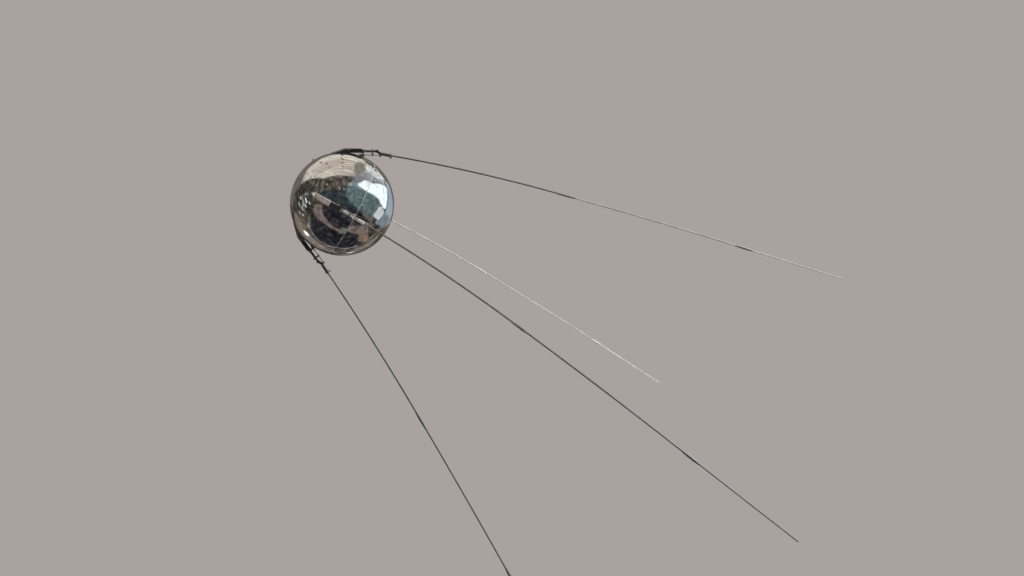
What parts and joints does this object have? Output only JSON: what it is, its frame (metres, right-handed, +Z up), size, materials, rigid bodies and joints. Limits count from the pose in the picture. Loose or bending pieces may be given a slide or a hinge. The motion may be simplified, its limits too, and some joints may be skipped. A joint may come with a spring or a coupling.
{
  "type": "spherical satellite with whip antennas",
  "caption": "Mirror-polished spherical satellite, hung nose up, with long whip antennas swept back from sprung swivel mounts.",
  "frame": {"origin": "centre of the sphere", "axes": "+Z up, nose towards -X and raised 13 degrees, whips trail towards +X, left of the nose is -Y"},
  "size_m": [3.1579, 2.4365, 2.3691],
  "materials": {
    "front_shell": "mirror polished",
    "rear_shell": "mirror polished",
    "joint_ring": "satin",
    "battery_block": "matte case",
    "hanging_eye": "bright",
    "fairing": "satin",
    "insulator": "matte black",
    "bracket": "satin",
    "arm": "polished",
    "guide_tab": "satin",
    "spring": "drawn wire",
    "plunger": "bright",
    "sleeve": "polished",
    "pivot_pin": "bright",
    "inner_rod": "drawn tube",
    "middle_rod": "drawn tube",
    "tip_rod": "drawn tube",
    "ferrules": "satin"
  },
  "bodies": {
    "satellite_body": {"front_shell": "front_shell", "rear_shell": "rear_shell", "joint_ring": "joint_ring", "battery_block": "battery_block", "hanging_eye": "hanging_eye", "fairing_upper_left": "fairing", "insulator_upper_left": "insulator", "bracket_upper_left": "bracket", "arm_upper_left": "arm", "guide_tab_upper_left": "guide_tab", "spring_upper_left": "spring", "fairing_upper_right": "fairing", "insulator_upper_right": "insulator", "bracket_upper_right": "bracket", "arm_upper_right": "arm", "guide_tab_upper_right": "guide_tab", "spring_upper_right": "spring", "fairing_lower_left": "fairing", "insulator_lower_left": "insulator", "bracket_lower_left": "bracket", "arm_lower_left": "arm", "guide_tab_lower_left": "guide_tab", "spring_lower_left": "spring", "fairing_lower_right": "fairing", "insulator_lower_right": "insulator", "bracket_lower_right": "bracket", "arm_lower_right": "arm", "guide_tab_lower_right": "guide_tab", "spring_lower_right": "spring"},
    "whip_upper_left": {"sleeve_upper_left": "sleeve", "pivot_pin_upper_left": "pivot_pin", "inner_rod_upper_left": "inner_rod", "middle_rod_upper_left": "middle_rod", "tip_rod_upper_left": "tip_rod", "ferrules_upper_left": "ferrules"},
    "plunger_upper_left": {"plunger_upper_left": "plunger"},
    "whip_upper_right": {"sleeve_upper_right": "sleeve", "pivot_pin_upper_right": "pivot_pin", "inner_rod_upper_right": "inner_rod", "middle_rod_upper_right": "middle_rod", "tip_rod_upper_right": "tip_rod", "ferrules_upper_right": "ferrules"},
    "plunger_upper_right": {"plunger_upper_right": "plunger"},
    "whip_lower_left": {"sleeve_lower_left": "sleeve", "pivot_pin_lower_left": "pivot_pin", "inner_rod_lower_left": "inner_rod", "middle_rod_lower_left": "middle_rod", "tip_rod_lower_left": "tip_rod", "ferrules_lower_left": "ferrules"},
    "plunger_lower_left": {"plunger_lower_left": "plunger"},
    "whip_lower_right": {"sleeve_lower_right": "sleeve", "pivot_pin_lower_right": "pivot_pin", "inner_rod_lower_right": "inner_rod", "middle_rod_lower_right": "middle_rod", "tip_rod_lower_right": "tip_rod", "ferrules_lower_right": "ferrules"},
    "plunger_lower_right": {"plunger_lower_right": "plunger"}
  },
  "joints": [
    {"name": "swing_upper_left", "type": "hinge", "parent": "satellite_body", "child": "whip_upper_left", "pos_m": [0.08879, -0.24938, 0.23544], "axis": [-0.1591, -0.7071, -0.689], "range_deg": [-3, 17]},
    {"name": "push_upper_left", "type": "slide", "parent": "satellite_body", "child": "plunger_upper_left", "axis": [0.9404, -0.321, 0.1124], "range_m": [-0.00105, 0.00586]},
    {"name": "swing_upper_right", "type": "hinge", "parent": "satellite_body", "child": "whip_upper_right", "pos_m": [0.08879, 0.24938, 0.23544], "axis": [0.1591, -0.7071, 0.689], "range_deg": [-8, 12]},
    {"name": "push_upper_right", "type": "slide", "parent": "satellite_body", "child": "plunger_upper_right", "axis": [0.9404, 0.321, 0.1124], "range_m": [-0.00293, 0.00439]},
    {"name": "swing_lower_left", "type": "hinge", "parent": "satellite_body", "child": "whip_lower_left", "pos_m": [-0.02341, -0.24938, -0.25053], "axis": [-0.1591, 0.7071, -0.689], "range_deg": [-18, 2]},
    {"name": "push_lower_left", "type": "slide", "parent": "satellite_body", "child": "plunger_lower_left", "axis": [0.796, -0.321, -0.5132], "range_m": [-0.00761, 0.00086]},
    {"name": "swing_lower_right", "type": "hinge", "parent": "satellite_body", "child": "whip_lower_right", "pos_m": [-0.02341, 0.24938, -0.25053], "axis": [0.1591, 0.7071, 0.689], "range_deg": [-14, 6]},
    {"name": "push_lower_right", "type": "slide", "parent": "satellite_body", "child": "plunger_lower_right", "axis": [0.796, 0.321, -0.5132], "range_m": [-0.00556, 0.00239]}
  ],
  "couplings": [
    {"joint": "push_upper_left", "follows": "swing_upper_left", "m_per_rad": 0.01967},
    {"joint": "push_upper_right", "follows": "swing_upper_right", "m_per_rad": 0.02085},
    {"joint": "push_lower_left", "follows": "swing_lower_left", "m_per_rad": 0.02415},
    {"joint": "push_lower_right", "follows": "swing_lower_right", "m_per_rad": 0.02266}
  ]
}
